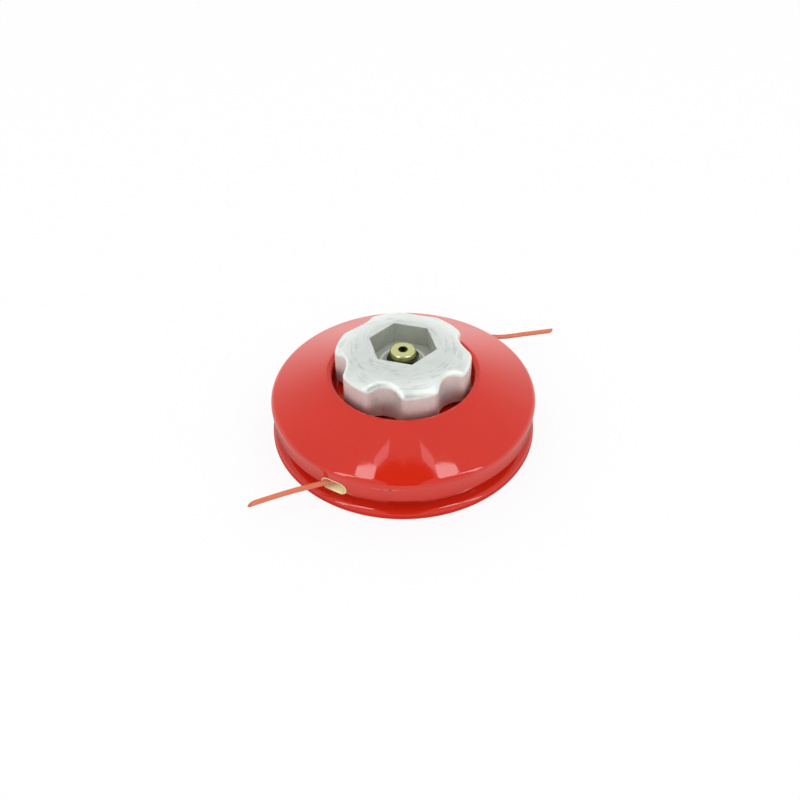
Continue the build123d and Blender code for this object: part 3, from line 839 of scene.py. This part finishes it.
    def lay_floor(self) -> None:
        """Lays a plain white floor that keeps a faint shadow."""
        mesh = bpy.data.meshes.new("floor")
        half = self.floor_half
        corners = [(-half, -half, 0), (half, -half, 0), (half, half, 0), (-half, half, 0)]
        mesh.from_pydata(corners, [], [(0, 1, 2, 3)])
        floor = bpy.data.objects.new("floor", mesh)
        bpy.context.scene.collection.objects.link(floor)
        material = bpy.data.materials.new("white_card")
        material.use_nodes = True
        tree = material.node_tree
        tree.nodes.clear()
        card = add_node(tree, "ShaderNodeBsdfDiffuse", {"Color": linear("#F6F6F6")})
        path = add_node(tree, "ShaderNodeLightPath")
        radius = take_bearings(tree).radius
        # Mirrored in the enamel, the card is shaded close under the head, and far off as bright as the sweep
        start, end = self.card_near
        near = {"Value": radius, "From Min": start, "From Max": end, "To Min": self.card_shade, "To Max": 1.0}
        near = add_node(tree, "ShaderNodeMapRange", near, interpolation_type="SMOOTHSTEP")
        start, end = self.card_far
        far = {"Value": radius, "From Min": start, "From Max": end, "To Min": 1.0, "To Max": self.backdrop}
        far = add_node(tree, "ShaderNodeMapRange", far)
        mirrored = add_node(tree, "ShaderNodeMath", {0: near, 1: far}, operation="MULTIPLY")
        level = {SHARE: path.outputs["Is Glossy Ray"], VALUE_A: 1.0, VALUE_B: mirrored}
        level = add_node(tree, "ShaderNodeMix", level, data_type="FLOAT")
        glow = add_node(tree, "ShaderNodeEmission", {"Color": linear("#FFFFFF"), "Strength": level})
        clear = {0: path.outputs["Is Camera Ray"], 1: path.outputs["Is Transmission Ray"]}
        clear = add_node(tree, "ShaderNodeMath", clear, operation="MAXIMUM")
        # What is not drawn as plain white is the card itself, which keeps the head's shadow
        clear = add_node(tree, "ShaderNodeMath", {0: clear, 1: self.card_white}, operation="MULTIPLY")
        glowing = {0: clear, 1: path.outputs["Is Glossy Ray"]}
        share = add_node(tree, "ShaderNodeMath", glowing, operation="MAXIMUM")
        look = add_node(tree, "ShaderNodeMixShader", {0: share, 1: card, 2: glow})
        add_node(tree, "ShaderNodeOutputMaterial", {"Surface": look})
        mesh.materials.append(material)

    def build(self) -> list[str]:
        """Sets up camera, room, floor and lamps.

        Returns:
            Names of the lamps.
        """
        self.place_camera()
        self.light_surroundings()
        self.lay_floor()
        bpy.context.scene.view_settings.view_transform = "Standard"
        return [box.hang().name for box in self.boxes]


@dataclass
class SubAssembly:
    """Pieces that are made or fitted together."""

    name: str

    def finishes(self) -> dict[str, Finish]:
        """The finish of each of its CAD pieces, by the piece's name."""
        raise NotImplementedError

    def build(self) -> list[str]:
        """Dresses its CAD pieces.

        Returns:
            Names of the pieces.
        """
        finishes = self.finishes()
        for node, finish in finishes.items():
            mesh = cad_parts[node].data
            mesh.materials.clear()
            mesh.materials.append(finish.make())
        return list(finishes)


@dataclass
class Shells(SubAssembly):
    """Cast housing and pressed cover, sprayed in one coat once they are joined."""

    name: str = "shells"
    enamel: Finish = StovedEnamel()

    def finishes(self) -> dict[str, Finish]:
        """The finish of both shells."""
        return {"housing": self.enamel, "cover": self.enamel}


@dataclass
class LineExit(SubAssembly):
    """One way out for the line: a brass eyelet, the taut line inside the head and the free end outside.

    The free end is stiff enough to stand out from its eyelet, and its tip was cut on a slant. Sizes are in
    millimetres. Each step of the route says how far its point lies ahead, to the left and up from the eyelet.
    The cut goes through the line's middle this far before the route's end, and faces ahead, up and left.
    """

    side: Side
    steps: Steps
    exit_radius: float = 60.6
    exit_shift: float = 2.85
    exit_height: float = 13.5
    lean: float = 40.5
    diameter: float = 2.4
    around: int = 32
    along: int = 24
    tip_cut: float = 3.95
    tip_up: float = 2.1
    tip_left: float = 0.5
    # Less metallic than brass is, because the shaded card that it mirrors would turn it brown, and paler than
    # brass, so that its near white tones paint in the bright reflection in the eyelet's mouth
    brass: Finish = TurnedMetal(
        name="polished_brass",
        tone="#FFFAD8",
        second_tone="#F8EFC0",
        ring=0.8,
        ring_depth=0.05,
        low_roughness=0.25,
        high_roughness=0.38,
        metallic=0.35,
    )
    nylon: Finish = ExtrudedNylonLine()

    @property
    def node(self) -> str:
        """Name of the CAD node that the free end replaces."""
        return f"line_end_{self.side.name.lower()}"

    def sideways(self) -> tuple[Vector, Vector]:
        """The line's directions ahead and to the left, where it leaves its eyelet."""
        ahead = polar(1, self.side.value - self.lean)
        return ahead, Vector((0, 0, 1)).cross(ahead)

    def route(self) -> list[Vector]:
        """Works out the route from its steps.

        Returns:
            Its points in metres.
        """
        joint = polar(self.exit_radius, self.side.value, self.exit_height)
        joint += polar(self.exit_shift, self.side.value - 90)
        ahead, left = self.sideways()
        return [(joint + ahead * s[0] + left * s[1] + Vector((0, 0, s[2]))) * MM for s in self.steps]

    def trace(self) -> list[Vector]:
        """Lays a smooth spline through the route and reads the points along it.

        Returns:
            Points of the line's middle, from the eyelet to the end of the route.
        """
        route = self.route()
        data = bpy.data.curves.new(f"{self.node}_route", "CURVE")
        data.dimensions = "3D"
        data.resolution_u = self.along
        spline = data.splines.new("NURBS")
        spline.points.add(len(route) - 1)
        for control, point in zip(spline.points, route):
            control.co = (*point, 1.0)
        spline.order_u = 3
        spline.use_endpoint_u = True
        guide = bpy.data.objects.new(f"{self.node}_route", data)
        mesh = bpy.data.meshes.new_from_object(guide)
        middle = [vertex.co.copy() for vertex in mesh.vertices]
        bpy.data.objects.remove(guide)
        bpy.data.curves.remove(data)
        bpy.data.meshes.remove(mesh)
        return middle

    def skin(self, middle: list[Vector], cut: Vector) -> bpy.types.Mesh:
        """Makes the line's round skin along its middle and cuts the tip on a slant.

        Args:
            middle: Points of the line's middle.
            cut: Point of the middle through which the slanting cut goes.

        Returns:
            The closed mesh.
        """
        shape = bmesh.new()
        radius = self.diameter / 2 * MM
        loops = []
        for number, point in enumerate(middle):
            before, after = middle[max(number - 1, 0)], middle[min(number + 1, len(middle) - 1)]
            ahead = (after - before).normalized()
            left = Vector((0, 0, 1)).cross(ahead).normalized()
            up = ahead.cross(left)
            turns = [math.tau * step / self.around for step in range(self.around)]
            ring = [point + (left * math.cos(turn) + up * math.sin(turn)) * radius for turn in turns]
            loops.append([shape.verts.new(place) for place in ring])
        for here, there in zip(loops, loops[1:]):
            for one in range(self.around):
                other = (one + 1) % self.around
                shape.faces.new((here[one], here[other], there[other], there[one])).smooth = True
        shape.faces.new(loops[0])
        ahead = (middle[-1] - middle[-2]).normalized()
        slant = ahead + Vector((0, 0, self.tip_up)) + self.sideways()[1] * self.tip_left
        whole = shape.verts[:] + shape.edges[:] + shape.faces[:]
        trimmed = bmesh.ops.bisect_plane(shape, geom=whole, plane_co=cut, plane_no=slant, clear_outer=True)
        rim = [item for item in trimmed["geom_cut"] if isinstance(item, bmesh.types.BMEdge)]
        bmesh.ops.contextual_create(shape, geom=rim)
        bmesh.ops.recalc_face_normals(shape, faces=shape.faces)
        mesh = bpy.data.meshes.new(f"{self.node}_line")
        shape.to_mesh(mesh)
        shape.free()
        return mesh

    def lay_end(self) -> bpy.types.Object:
        """Lays the free end along its route, in the place of its CAD solid.

        Returns:
            The free end.
        """
        middle = self.trace()
        ahead = (middle[-1] - middle[-2]).normalized()
        cut = middle[-1] - ahead * self.tip_cut * MM
        line = bpy.data.objects.new(f"{self.node}_line", self.skin(middle, cut))
        bpy.context.scene.collection.objects.link(line)
        line.data.materials.append(self.nylon.make())
        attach(line, "head")
        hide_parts(self.node)
        return line

    def finishes(self) -> dict[str, Finish]:
        """The finishes of eyelet and inner line."""
        place = self.side.name.lower()
        return {f"eyelet_{place}": self.brass, f"inner_line_{place}": self.nylon}

    def build(self) -> list[str]:
        """Lays the free end and dresses eyelet and inner line.

        Returns:
            Names of the pieces.
        """
        return [self.lay_end().name, *super().build()]


@dataclass
class Drive(SubAssembly):
    """Arbor that the gearbox turns, what holds it in the housing, and the nut and screw at its ground end."""

    name: str = "drive"
    # The stop nut's dark olive is partly painted shade, for the shade it lies in under the screw in the knob's
    # pocket
    olive_plate_and_shade: Finish = TurnedMetal(
        name="olive_plate_with_painted_shade", tone="#4C4A2A", second_tone="#35341B", patch=1.5
    )
    yellow_plate: Finish = YellowZinc()

    def finishes(self) -> dict[str, Finish]:
        """The finishes of the turned arbor and its plated fasteners.

        Returns:
            Each piece's finish.
        """
        return {
            "arbor": TURNED_STEEL,
            "arbor_washer": ZINC_PLATE,
            "arbor_ring": SPRING_STEEL,
            "stop_nut": self.olive_plate_and_shade,
            "lock_screw": self.yellow_plate,
        }


@dataclass
class Reel(SubAssembly):
    """Spool with its line, and the spring and brake ring that hold it back."""

    name: str = "reel"
    nylon: Finish = MouldedNylon()
    line: Finish = ExtrudedNylonLine()
    rubber: Finish = MouldedNylon(
        name="ground_brake_rubber",
        tone="#2A2A29",
        second_tone="#353433",
        grain=0.9,
        grain_depth=0.05,
        roughness=0.75,
    )

    def finishes(self) -> dict[str, Finish]:
        """The finishes of spool, line, spring and brake.

        Returns:
            Each piece's finish.
        """
        return {
            "spool": self.nylon,
            "winding": self.line,
            "brake_ring": self.rubber,
            "spring": SPRING_STEEL,
            "spring_seat": ZINC_PLATE,
        }


@dataclass
class Grip(SubAssembly):
    """Lobed knob with the insert, washer and clip that turn or rise with it."""

    name: str = "grip"
    cast: Finish = CastAluminium()

    def finishes(self) -> dict[str, Finish]:
        """The finishes of knob, insert, washer and clip.

        Returns:
            Each piece's finish.
        """
        return {
            "knob": self.cast,
            "knob_insert": TURNED_STEEL,
            "thrust_washer": ZINC_PLATE,
            "washer_clip": SPRING_STEEL,
        }


def main() -> None:
    """Builds the scene in order and reports each piece."""
    logging.basicConfig(level=logging.INFO, format="%(message)s")
    parts = (
        Studio(),
        LineExit("front_exit", Side.FRONT, [(0, 0, 0), (8.0, 0, 0), (22.3, -0.4, -0.6), (38.7, 0.7, -1.1)]),
        LineExit(
            "rear_exit",
            Side.REAR,
            [(0, 0, 0), (8.0, 0, 0), (18.7, -1.7, -2.9), (34.0, -2.2, -3.9), (48.9, -4.1, -4.3)],
            tip_cut=2.6,
            tip_up=-0.9,
            tip_left=0.0,
        ),
        Shells(),
        Drive(),
        Reel(),
        Grip(),
    )
    for part in parts:
        LOG.info("%s: %s", part.name, ", ".join(part.build()))


if __name__ == "__main__":
    main()
